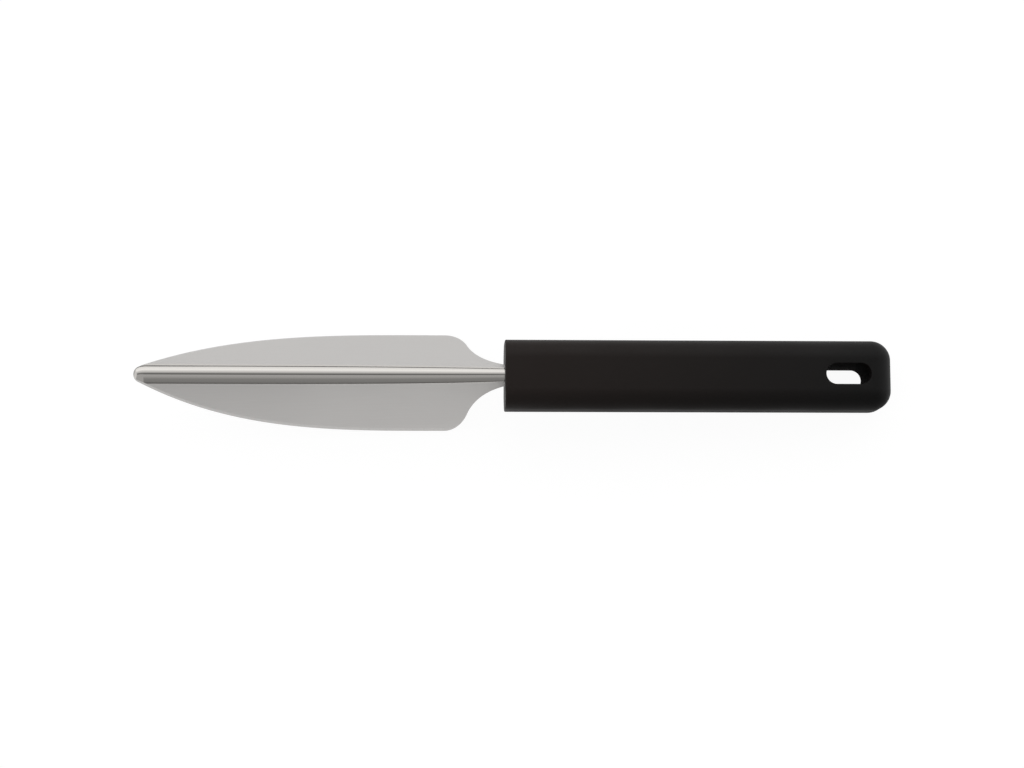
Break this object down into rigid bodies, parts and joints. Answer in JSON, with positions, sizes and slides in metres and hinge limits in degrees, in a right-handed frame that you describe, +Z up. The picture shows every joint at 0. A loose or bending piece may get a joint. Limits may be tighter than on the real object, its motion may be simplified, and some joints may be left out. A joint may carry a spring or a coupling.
{
  "type": "garnishing knife",
  "caption": "Garnishing knife: a V-section pressed steel blade with a rounded ridge and gouge-like nose, its tang moulded into a flat-topped black handle with a hanging slot.",
  "frame": {"origin": "on the table, under the middle of the knife's bounding box", "axes": "+X from the blade's tip towards the butt, +Y across the blade, +Z up; the knife lies ridge up on both wing edges and on the underside of the butt"},
  "size_m": [0.2048, 0.0268, 0.0236],
  "materials": {
    "stainless_steel": "satin ground, bright ridge",
    "polypropylene": "fine matt moulded, black"
  },
  "bodies": {
    "root": {"blade": "stainless_steel", "handle": "polypropylene"}
  },
  "joints": []
}
